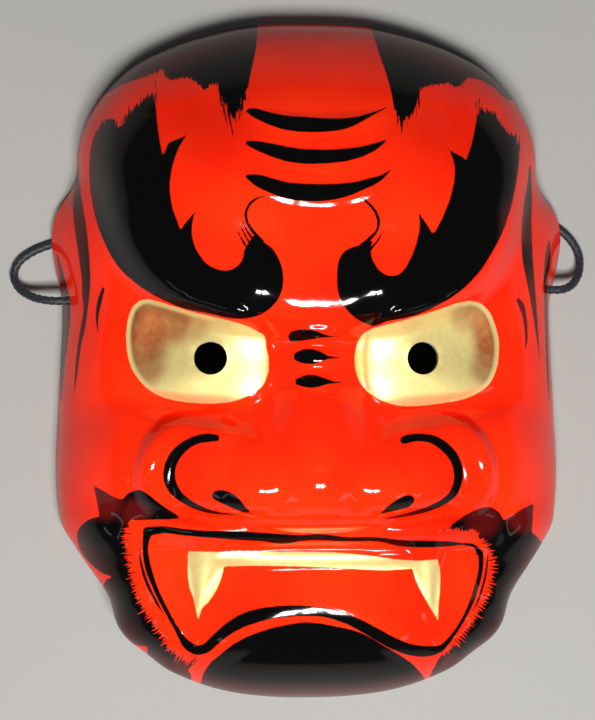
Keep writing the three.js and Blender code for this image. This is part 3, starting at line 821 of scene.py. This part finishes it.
# Brush strokes: (right, down, half width) along each, on four layers so that close ones don't merge
STROKES_A = [
    # Forehead wrinkles
    [(246, 110.5, 1.5), (254, 112.5, 4.5), (267, 117.5, 6), (285, 122.5, 7.3), (305, 124.5, 7.8),
     (325, 125, 7), (345, 123.5, 5.6), (360, 119, 3.3), (372, 114, 1.6), (387, 107.5, .3)],
    [(244, 142, 1), (255, 145, 4.2), (270, 149.5, 6.3), (287, 154, 7.4), (305, 156.5, 7.5), (325, 156.5, 7.1),
     (345, 155, 6.5), (362, 151.5, 5.2), (376, 146, 3.2), (387, 139.5, .3)],
    [(248, 176.5, 2.5), (257, 180, 6), (270, 185, 7.4), (287, 190.5, 8.5), (305, 192.5, 9), (325, 192.5, 8.6),
     (345, 190, 7), (361, 185.5, 5.2), (376, 180, 3.6), (384, 175.5, 1.8), (391, 169.5, .3)],
    # Strokes on the bridge of the nose
    [(293.5, 336.5, 5.6), (300, 335.3, 6), (309, 334.7, 5.2), (316, 334.8, 4), (322, 335.5, 2.4),
     (330, 336.5, .9), (342, 337, .25)],
    [(292.5, 357, 1.5), (298, 356.6, 5.4), (306, 356.4, 7.6), (314, 356.6, 7.4), (321, 357, 5),
     (328, 357.3, 2), (342, 358, .25)],
    [(293, 382, 1.2), (299, 381.6, 4), (308, 381.2, 6.6), (316, 381.4, 6.2), (323, 381.6, 4), (330, 382, 2),
     (342, 382.6, .25)],
    # Folds round the nose's wings
    [(216, 438, 3.6), (208, 437.8, 4.4), (196, 440, 4.4), (184, 446.5, 5), (175, 456, 5.7), (170, 467, 6),
     (169.5, 479, 6.2), (174, 490, 5.4), (182, 498, 4), (192, 504.5, 3.2), (205, 510, 2.4), (220, 513.4, 1.4),
     (239, 514.5, .3)],
    [(404, 440, 4), (412, 438, 4.2), (424, 437.6, 4), (436, 441, 4.5), (447, 449, 5), (455, 459.5, 5),
     (458.3, 471, 4.8), (457.5, 483, 4.4), (453, 493.5, 4), (444, 501.5, 3.2), (432, 507.5, 2.8),
     (418, 512, 2.4), (401, 516, 1.5), (383, 519, .3)],
    # Round the mouth
    [(147.5, 531.5, 4.8), (163, 529.8, 3.8), (185, 532.2, 3.4), (205, 534, 3.6), (235, 535.4, 4.6),
     (262, 537, 4.6), (285, 539.2, 5.2), (302, 538, 3.2), (320, 537.2, 3.3), (345, 539.2, 2.5),
     (378, 539.4, 2.3), (400, 543, 3.4), (425, 544, 3.6), (445, 544, 3), (462, 544, 1.8), (474, 546, 2),
     (480, 553, 3)],
    [(147.5, 532, 4.6), (145.5, 545, 3.1), (146.5, 560, 3.2), (150.5, 575, 3.1), (157, 592, 2.5),
     (165, 608, 2.4), (172, 621, 2.3), (179, 633, 2.8), (186, 643.5, 4.4), (196, 650, 5), (206, 648, 5),
     (216, 639, 5.2), (229, 628.5, 6), (243, 620.5, 6.8), (258, 615.5, 6.8), (273, 612.5, 6.3),
     (291, 611, 5.8), (308, 611, 5.3), (325, 612.5, 4.8), (343, 617.6, 5), (360, 625, 5.5), (377, 634.5, 6),
     (393, 643.2, 6.2), (410, 649.6, 5.9), (428, 651.3, 5.4), (440, 649, 3.8)],
    [(441, 649, 3.4), (452, 636.5, 2.2), (461, 623, 2), (468, 610, 2.2), (474, 595, 2.4), (478.5, 580, 2.4),
     (481, 566, 2.4), (480.5, 553, 2.8)],
    # Temples
    [(77, 165, .8), (77.5, 182, 2), (77.3, 200, 4.6), (79.5, 220, 5.8), (82, 240, 5.8), (84.5, 260, 5.2),
     (86, 280, 4.4), (85.7, 297, 3.6), (85.5, 309, 2.2), (83.3, 325, 2.4), (80, 342, 1.9), (77.5, 360, 1.6),
     (75.8, 377, 1.1), (74, 394, .3)],
    [(530, 165, .8), (529.5, 182, 2), (528.3, 200, 3.8), (526.8, 220, 4.8), (526.8, 240, 5.4),
     (527.8, 260, 5.2), (530.5, 280, 4), (533.3, 300, 2.9), (535.6, 320, 1.9), (538, 342, .9),
     (539.5, 358, .3)],
    [(56.5, 253, .5), (59.5, 266, 1.6), (62.5, 281, 3), (65, 296, 4.2), (65.8, 312, 4.6), (65.4, 330, 3.8),
     (64, 348, 3), (62.5, 366, 2.1), (61.7, 385, 1.3), (61.5, 402, .3)],
    [(549.3, 240, .7), (547.7, 258, 2.8), (546, 280, 2.4), (546, 302, 1.7), (546.5, 330, 1.5),
     (547.2, 358, 1.4), (548.3, 382, 1.1), (549, 402, .3)],
    [(104, 286, 1), (100.5, 298, 2.2), (98, 309, 2), (97, 320, 1.4), (98, 332, .3)],
    [(517, 298, 1.6), (521.3, 305, 2.8), (524.3, 316, 2.1), (526, 330, 1.6), (526.3, 340, 1.3),
     (525, 350, .3)],
    # The inner end of each brow's outline
    [(265, 196, .4), (256, 199, 1.2), (249.5, 204.5, 1.5), (246, 212, 1.6), (246.5, 220, 1.7),
     (250, 227.5, 1.8), (256, 235, 2), (263, 243, 2.4)],
    [(358, 199, .4), (364, 200, 1.2), (371, 206, 1.7), (376.5, 214, 1.9), (378.7, 223, 1.7),
     (376.5, 231, 1.5), (370, 238.5, 2), (361, 246, 2.4)],
]

STROKES_B = [
    # Fine hairs at the brows' inner ends
    [(242, 218.5, .3), (244.5, 226, .9), (249, 234, 1.3), (255, 242, 1.7), (262, 251, 2)],
    [(382, 231, .3), (379.5, 238, .8), (375.5, 243.5, 1.2), (370.5, 249, 1.5), (368, 257, 1.2)],
    # A second line beside the mouth's corners
    [(139, 546, .3), (140.5, 560, 1.2), (144, 575, 1.6), (150, 590, 1.7), (157, 603, 1.4), (164, 615, .4)],
    [(488, 552, .4), (487, 566, 1.1), (484, 582, 1.3), (479, 598, 1.3), (472, 613, .4)],
    # Single hairs below the forehead's hair
    [(228, 105, 1.2), (229.5, 118, 1), (232, 130, .7), (234, 139, .2)],
    [(402.5, 118, 1), (402, 126, .8), (401.5, 136, .2)],
]
STROKES_C = [
    [(236.5, 228, .3), (240, 236, .9), (244, 243, 1.3), (249, 251, 1.8)],
    [(222.5, 103, 1), (225, 115, .9), (227.5, 126, .2)],
    [(240.5, 104, 1), (240, 114, .6), (239, 122, .2)],
]
STROKES_D = [
    [(239.5, 222.5, .3), (242.5, 230, .8), (246.5, 238, 1.2), (252, 246, 1.6)],
]
STROKES = {"a": STROKES_A, "b": STROKES_B, "c": STROKES_C, "d": STROKES_D}

# Where a dry brush left a bristly edge: a guide along it, how far the bristles reach, how far
# from the guide that dies out, and whether the brush went down the face or out from the guide
BRISTLES = [
    ([(160, 77), (190, 80), (217, 88)], 3, 14, "down"),
    ([(217, 104), (232, 113), (246, 103)], 7, 18, "down"),
    ([(395, 122), (404, 122), (418, 108)], 6, 15, "down"),
    ([(420, 91), (440, 86), (466, 83)], 3, 12, "down"),
    ([(98, 124), (119, 119), (135, 105), (156, 92)], 5, 18, "down"),
    ([(480, 107), (496, 116), (519, 138)], 5, 15, "down"),
    ([(127, 526), (126, 545), (129, 566), (137, 596), (152, 622), (170, 649), (192, 664)], 9, 15, "out"),
    ([(486, 540), (492, 560), (490, 584), (478, 612), (462, 636), (444, 656)], 8, 14, "out"),
    ([(447, 529), (463, 532), (482, 534)], 4, 9, "down"),
    ([(104, 96), (125, 85), (145, 77), (160, 74)], 2, 8, "down"),
]
GUIDE_STEPS = 8
GUIDE_STEP = 2
GUIDES_APART = 40

# Where the black is brushed thin, so that the red shows through it as maroon
THIN_SPOTS = [
    ((104, 500), 26, 1), ((135, 514), 20, .75), ((523, 516), 22, .9), ((483, 519), 24, .7),
    ((78, 205), 26, .75), ((528, 222), 34, .75), ((533, 300), 30, .5), ((62, 300), 44, .7),
    ((548, 320), 70, .9), ((80, 350), 34, .6), ((184, 668), 18, .8), ((452, 668), 20, .7),
]
# Low on the steep sides the black gets a painted maroon reflection of red surroundings, up to these heights
# in millimetres above the rim
RED_REFLECTION_HEIGHTS = (22, 40)
RED_REFLECTION_BELOW = 0.8

# Where the gold on the eyes' outward slopes gets a painted reddish-brown reflection of red surroundings
GOLD_RED_REFLECTION_SPOTS = [
    ((146, 328), 42, .85), ((170, 320), 36, .75), ((141, 346), 38, .8), ((144, 364), 30, .65),
    ((190, 320), 30, .45), ((478, 316), 26, .6), ((486, 322), 27, .75), ((490, 332), 27, .8),
    ((493, 344), 27, .85), ((492, 356), 26, .75), ((488, 368), 24, .6), ((468, 316), 24, .45),
]


def rounded(runs):
    """One closed outline through a shape's runs."""
    outline = []
    for before, run in zip([runs[-1], *runs], runs):
        part = np.array([before[-1], *run], float)
        outline.append(curve_through(part, OUTLINE_STEPS)[:-1] if len(part) > 2 else part[:1])
    return np.vstack(outline)


def places_by(u, v, line):
    """Which places lie in a line's box or no further than FAR from it, as indices."""
    low, high = line.min(axis=0) - FAR, line.max(axis=0) + FAR
    return ((u > low[0]) & (u < high[0]) & (v > low[1]) & (v < high[1])).nonzero()[0]


def inside_by(u, v, outline):
    """How far inside a closed outline each place lies, in stencil units; less than 0 is outside."""
    depth = np.full(u.shape, -float(FAR))
    near = places_by(u, v, outline)
    x, y = u[near], v[near]
    closed = np.vstack([outline, outline[:1]])
    far, _, _ = nearest_on(closed, x, y)
    crossings = np.zeros(x.shape, int)
    for (ax, ay), (bx, by) in zip(closed, closed[1:]):
        crossings += ((ay > y) != (by > y)) & (x < ax + (y - ay) * (bx - ax) / (by - ay if by != ay else 1))
    depth[near] = np.where(crossings % 2 == 1, far, -far)
    return depth


def filled(u, v, shapes):
    return np.max([inside_by(u, v, rounded(runs)) for runs in shapes.values()], axis=0)


# Strokes of less than the first half width are fine, of more than the second broad, and between
# them both. A fine one's numbers are kept up to a margin beyond its edge. Past the hold its half
# width falls off, so that none shows midway to the next
FINE_STROKE = 3
BROAD_STROKE = 2
STROKE_MARGIN = 5
STROKE_HOLD = 2
STROKE_FALL = 6
STROKE_STEPS = 6
NO_STROKE = -10.0


def stroked(u, v, strokes):
    """Three numbers for each place: how far inside a broad stroke it is, and for fine strokes, which
    are thinner than the mesh's squares, the signed distance from the middle and the half width."""
    depth = np.full(u.shape, -float(FAR))
    across, half = np.full(u.shape, float(FAR)), np.full(u.shape, NO_STROKE)
    for stroke in strokes:
        line = curve_through(stroke, STROKE_STEPS)
        near = places_by(u, v, line)
        far, along, side = nearest_on(line[:, :2], u[near], v[near])
        width = np.interp(along, np.arange(len(line)), line[:, 2])
        depth[near] = np.maximum(depth[near], np.where(width > BROAD_STROKE, width - far, -FAR))
        fine = (width < FINE_STROKE) & (far < width + STROKE_MARGIN) & (along > 0) & (along < len(line) - 1)
        fine &= far - width < np.abs(across[near]) - half[near]
        across[near[fine]] = (np.sign(side) * far)[fine]
        half[near[fine]] = (width - STROKE_FALL * np.maximum(0, far - width - STROKE_HOLD))[fine]
    return depth, across, half


# The share of a spot's radius that is full, and the same for a bristly edge's fading
SOFT_FROM = 0.4


def spotted(u, v, spots):
    """How much soft round spots cover each place, 0 to 1."""
    return np.max([
        much * (1 - smoothstep(SOFT_FROM, 1, np.hypot(u - x, v - y) / radius))
        for (x, y), radius, much in spots
    ], axis=0)


def paint(obj):
    """Mark on the mask's mesh where each paint lies, as the materials read it."""
    co = mesh_points(obj)
    u, v = picture_place(co)
    layers = {name: stroked(u, v, strokes) for name, strokes in STROKES.items()}
    mark(obj, "black_shapes", filled(u, v, BLACK_SHAPES))
    mark(obj, "black_strokes", np.max([depth for depth, _, _ in layers.values()], axis=0))
    for name, (_, across, half) in layers.items():
        mark(obj, "stroke_%s_across" % name, across)
        mark(obj, "stroke_%s_half" % name, half)
    mark(obj, "gold_shapes", filled(u, v, GOLD_SHAPES))
    reach = np.zeros(u.shape)
    hair_across, hair_along = np.zeros(u.shape), np.zeros(u.shape)
    for k, (guide, length, fade, way) in enumerate(BRISTLES):
        line, whole = evenly(curve_through(guide, GUIDE_STEPS), GUIDE_STEP)
        far, along, side = nearest_on(line, u, v)
        here = length * (1 - smoothstep(SOFT_FROM * fade, fade, far))
        more = here > reach
        reach = np.where(more, here, reach)
        across_guide = along * whole / (len(line) - 1) + GUIDES_APART * k
        hair_across = np.where(more, across_guide if way == "out" else u, hair_across)
        hair_along = np.where(more, far * side if way == "out" else v, hair_along)
    mark(obj, "bristle_reach", reach)
    mark(obj, "hair_across", hair_across)
    mark(obj, "hair_along", hair_along)
    # Maroon low on the steep sides is a painted red reflection; the spots are black brushed thin
    maroon = RED_REFLECTION_BELOW * (1 - smoothstep(*RED_REFLECTION_HEIGHTS, co[:, 2]))
    mark(obj, "thin_paint", np.maximum(maroon, spotted(u, v, THIN_SPOTS)))
    # Painted red reflection on the outer ends of the gold eyes
    mark(obj, "thin_gold", spotted(u, v, GOLD_RED_REFLECTION_SPOTS))


paint(mask)


# Materials

def linear(hex_colour):
    """An sRGB hex colour as the linear colour that the shaders take."""
    parts = [int(hex_colour[i:i + 2], 16) / 255 for i in (1, 3, 5)]
    return tuple(c / 12.92 if c <= 0.04045 else ((c + 0.055) / 1.055) ** 2.4 for c in parts) + (1,)


def set_sockets(material, node, **sockets):
    """Set a node's sockets, by name or number, to values, or link them to nodes or their outputs."""
    for name, value in sockets.items():
        key = int(name[1:]) if name[0] == "_" else name.replace("_", " ")
        if isinstance(value, bpy.types.Node):
            value = value.outputs[0]
        if isinstance(value, bpy.types.NodeSocket):
            material.node_tree.links.new(value, node.inputs[key])
        else:
            node.inputs[key].default_value = value


def add_node(material, kind, settings=None, stops=(), **sockets):
    """A node with its settings, a ramp's stops, each a place and a colour, and its sockets."""
    node = material.node_tree.nodes.new("ShaderNode" + kind)
    for name, value in (settings or {}).items():
        setattr(node, name, value)
    for i, (place, colour) in enumerate(stops):
        element = node.color_ramp.elements[i]
        element.position, element.color = place, colour
    set_sockets(material, node, **sockets)
    return node


def new_material(name, **sockets):
    """A material, its shader with some sockets set, and the place on the piece that patterns read."""
    material = bpy.data.materials.new(name)
    material.use_nodes = True
    shader = material.node_tree.nodes["Principled BSDF"]
    set_sockets(material, shader, **sockets)
    return material, shader, add_node(material, "TexCoord").outputs["Object"]


MULTIPLY = {"operation": "MULTIPLY"}
SUBTRACT = {"operation": "SUBTRACT"}
MULTIPLY_ADD = {"operation": "MULTIPLY_ADD"}
MAXIMUM = {"operation": "MAXIMUM"}
COLOURS = {"data_type": "RGBA"}
FLAT = {"noise_dimensions": "2D"}

# The numbers that paint() keeps on the mask
MARKS = [
    "black_shapes", "black_strokes", "gold_shapes", "bristle_reach", "hair_across", "hair_along",
    "thin_paint", "thin_gold",
]
MARKS += ["stroke_%s_%s" % (layer, part) for layer in STROKES for part in ("across", "half")]


def lacquer_material():
    """Orange-red urushi-style lacquer over pasted paper, brushed black and metallic gold paint
    on it: a wet-looking gloss with the faint swell of the paper under it, and satin gold."""
    m, shader, place = new_material(
        "gloss_lacquer_over_paper", Specular_IOR_Level=0.0, Coat_IOR=1.5, Coat_Roughness=0.09
    )
    node = partial(add_node, m)
    kept = {name: node("Attribute", {"attribute_name": name}).outputs["Fac"] for name in MARKS}

    # Brush hairs about 0.5 mm apart fray the black shapes, where a mark says how far they reach
    hair = node(
        "CombineXYZ", X=node("Math", MULTIPLY, _0=kept["hair_across"], _1=0.6),
        Y=node("Math", MULTIPLY, _0=kept["hair_along"], _1=0.05),
    )
    bristle = node("TexNoise", FLAT, Vector=hair, Scale=1.0, Detail=2.0, Roughness=0.6)
    fray = node("Math", MULTIPLY_ADD, _0=bristle, _1=3.0, _2=-1.5)
    shapes = node("Math", MULTIPLY_ADD, _0=fray, _1=kept["bristle_reach"], _2=kept["black_shapes"])
    edge = node("Math", MAXIMUM, _0=shapes, _1=kept["black_strokes"])
    for layer in STROKES:
        far = node("Math", {"operation": "ABSOLUTE"}, _0=kept["stroke_%s_across" % layer])
        inside = node("Math", SUBTRACT, _0=kept["stroke_%s_half" % layer], _1=far)
        edge = node("Math", MAXIMUM, _0=edge, _1=inside)

    # Every edge of paint has a hand's wobble of a few millimetres
    wobble = node("TexNoise", Vector=place, Scale=420.0, Detail=2.0)
    wobble = node("Math", MULTIPLY_ADD, _0=wobble, _1=2.2, _2=-1.1)
    black = node("Math", MULTIPLY_ADD, _0=wobble, _1=0.4, _2=edge)
    black = node("MapRange", Value=black, From_Min=-0.5, From_Max=0.6)
    gold = node("Math", MULTIPLY_ADD, _0=wobble, _1=0.5, _2=kept["gold_shapes"])
    gold = node("MapRange", Value=gold, From_Min=-0.7, From_Max=0.7)

    # Red with slight clouds where it is brushed thicker
    clouds = node("TexNoise", Vector=place, Scale=28.0, Detail=3.0)
    red = node("ValToRGB", stops=[(0.3, linear("#E81C04")), (0.7, linear("#F82C08"))], Fac=clouds)

    # Gold powder brushed on, with a painted reddish-brown reflection at the eyes' outer ends, kept off the
    # pale rim
    powder = node("TexNoise", Vector=place, Scale=500.0, Detail=3.0, Roughness=0.6)
    full_gold = node("ValToRGB", stops=[(0.3, linear("#E6D286")), (0.7, linear("#EEDC96"))], Fac=powder)
    rim = node("MapRange", Value=kept["gold_shapes"], From_Min=2.5, From_Max=5.5)
    thin_gold = node("Math", MULTIPLY, _0=kept["thin_gold"], _1=rim)
    grain = node("Math", MULTIPLY_ADD, _0=powder, _1=0.4, _2=0.8)
    thin_gold = node("Math", MULTIPLY, _0=thin_gold, _1=grain)
    gold_colour = node("Mix", COLOURS, _0=thin_gold, _6=full_gold, _7=linear("#9C3404")).outputs[2]

    # Black, showing as maroon where it is brushed thin and in streaks of the brush, and low on the steep
    # sides as a painted red reflection
    streaks = node("TexNoise", FLAT, Vector=hair, Scale=2.0, Detail=2.0)
    streaks = node("Math", MULTIPLY_ADD, _0=streaks, _1=0.6, _2=0.6)
    maroon = node("Math", MULTIPLY, _0=kept["thin_paint"], _1=streaks)
    black_colour = node("ValToRGB", stops=[(0.0, linear("#030303")), (1.0, linear("#5A0A08"))], Fac=maroon)

    # The coat of gloss is on everything but the bare gold
    colour = node("Mix", COLOURS, _0=gold, _6=red, _7=gold_colour).outputs[2]
    colour = node("Mix", COLOURS, _0=black, _6=colour, _7=black_colour).outputs[2]
    bare_gold = node("Math", MULTIPLY, _0=gold, _1=node("Math", SUBTRACT, _0=1.0, _1=black))
    metallic = node("Math", MULTIPLY, _0=bare_gold, _1=0.65)
    coat = node("Math", MULTIPLY_ADD, _0=bare_gold, _1=-0.5, _2=0.5)

    # The paper's swell under the lacquer, its fine orange peel, and the body of the paint
    swell = node("TexNoise", Vector=place, Scale=90.0, Detail=2.0)
    peel = node("TexNoise", Vector=place, Scale=600.0, Detail=1.0)
    body = node("Math", MULTIPLY_ADD, _0=swell, _1=0.12, _2=node("Math", MULTIPLY, _0=peel, _1=0.008))
    body = node("Math", MULTIPLY_ADD, _0=black, _1=0.03, _2=body)
    bump = node("Bump", Height=body, Strength=0.5, Distance=0.001)
    set_sockets(
        m, shader, Base_Color=colour, Metallic=metallic, Coat_Weight=coat, Normal=bump, Coat_Normal=bump
    )
    return m


def paper_material():
    """Bare washi: overlapping torn strips, off-white, matt and fibrous, a little yellowed."""
    m, shader, place = new_material("pasted_washi_paper", Roughness=0.85)
    node = partial(add_node, m)
    # Torn strips about 18 mm across, with ragged edges
    drift = node("TexNoise", Vector=place, Scale=60.0, Detail=3.0).outputs["Color"]
    bent = node("VectorMath", MULTIPLY_ADD, _0=drift, _1=(0.008,) * 3, _2=place)
    strips = node("TexVoronoi", Vector=bent, Scale=55.0)
    seams = node("TexVoronoi", {"feature": "DISTANCE_TO_EDGE"}, Vector=bent, Scale=55.0)
    edge = node("MapRange", Value=seams.outputs["Distance"], From_Max=0.05)
    tone = node("SeparateColor", _0=strips.outputs["Color"])
    base = node("ValToRGB", stops=[(0.0, linear("#CDBE9C")), (1.0, linear("#DCD0B2"))], Fac=tone)
    colour = node("Mix", COLOURS, _0=edge, _6=linear("#B9A880"), _7=base).outputs[2]
    # Long fibres in it
    stretched = node("Mapping", Vector=place, Scale=(1, 0.25, 1))
    fibres = node("TexNoise", Vector=stretched, Scale=700.0, Detail=3.0, Distortion=1.5)
    speck = node("ValToRGB", stops=[(0.35, (0.78, 0.78, 0.78, 1)), (0.6, (1, 1, 1, 1))], Fac=fibres)
    colour = node("Mix", {**COLOURS, "blend_type": "MULTIPLY"}, _0=1.0, _6=colour, _7=speck).outputs[2]
    height = node("Math", MULTIPLY_ADD, _0=fibres, _1=0.15, _2=node("Math", MULTIPLY, _0=edge, _1=0.3))
    height = node("Math", MULTIPLY_ADD, _0=tone, _1=0.3, _2=height)
    bump = node("Bump", Height=height, Strength=0.6, Distance=0.0008)
    set_sockets(m, shader, Base_Color=colour, Normal=bump)
    return m


def cord_material():
    """Braided rayon cord, dyed black: matt with a faint sheen along the yarn's filaments."""
    m, shader, place = new_material(
        "black_braided_rayon", Roughness=0.6, Sheen_Weight=0.25, Sheen_Roughness=0.4,
        Sheen_Tint=linear("#8A9AA8"),
    )
    node = partial(add_node, m)
    # Filaments about 0.15 mm thick, drawn at twice that so that they show
    filaments = node("TexNoise", Vector=place, Scale=3200.0, Detail=2.0)
    colour = node("ValToRGB", stops=[(0.3, linear("#090B0D")), (0.7, linear("#20262B"))], Fac=filaments)
    bump = node("Bump", Height=filaments, Strength=0.35, Distance=0.0002)
    set_sockets(m, shader, Base_Color=colour, Normal=bump)
    return m


def floor_material():
    """Plain pale matt board, with a tone that changes a very little across it."""
    m, shader, place = new_material("pale_matt_board", Roughness=0.8)
    tone = add_node(m, "TexNoise", Vector=place, Scale=3.0, Detail=2.0)
    stops = [(0.3, linear("#8E8C88")), (0.7, linear("#94928E"))]
    set_sockets(m, shader, Base_Color=add_node(m, "ValToRGB", stops=stops, Fac=tone))
    return m


mask.data.materials.clear()
mask.data.materials.append(lacquer_material())
mask.data.materials.append(paper_material())
side_of = np.empty(len(mask.data.vertices), np.float32)
mask.data.attributes["face_side"].data.foreach_get("value", side_of)
for polygon in mask.data.polygons:
    polygon.material_index = 0 if all(side_of[k] > 0.5 for k in polygon.vertices) else 1
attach(mask, "root")
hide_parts("mask_shell")

cord_finish = cord_material()
for piece in (head_cord, *knots):
    piece.data.materials.clear()
    piece.data.materials.append(cord_finish)


# Floor and light

def soft_light(name, place, target, size, power):
    data = bpy.data.lights.new(name, "AREA")
    data.shape, data.size, data.size_y = "RECTANGLE", size[0], size[1]
    data.energy = power
    light = bpy.data.objects.new(name, data)
    bpy.context.scene.collection.objects.link(light)
    light.location = place
    light.rotation_euler = (Vector(target) - Vector(place)).to_track_quat("-Z", "Y").to_euler()


bpy.ops.mesh.primitive_plane_add(size=4, location=(0, 0, 0))
floor = bpy.context.object
floor.name = "floor"
floor.data.transform(Matrix.Translation((0, 0, -0.0002)))
floor.data.materials.append(floor_material())

for side in (-1, 1):
    soft_light("window_pane", (0.02 + 0.1 * side, -0.32, 0.95), (0, 0, 0.05), (0.17, 0.17), 8.5)
    soft_light("side_reflector", (0.9 * side, -0.75, 0.5), (0, 0, 0.03), (0.5, 0.12), 0.4)

world = bpy.data.worlds.new("studio")
bpy.context.scene.world = world
world.use_nodes = True
world.node_tree.nodes["Background"].inputs["Color"].default_value = (0.9, 0.95, 1, 1)
world.node_tree.nodes["Background"].inputs["Strength"].default_value = 0.1
bpy.context.scene.view_settings.view_transform = "Standard"
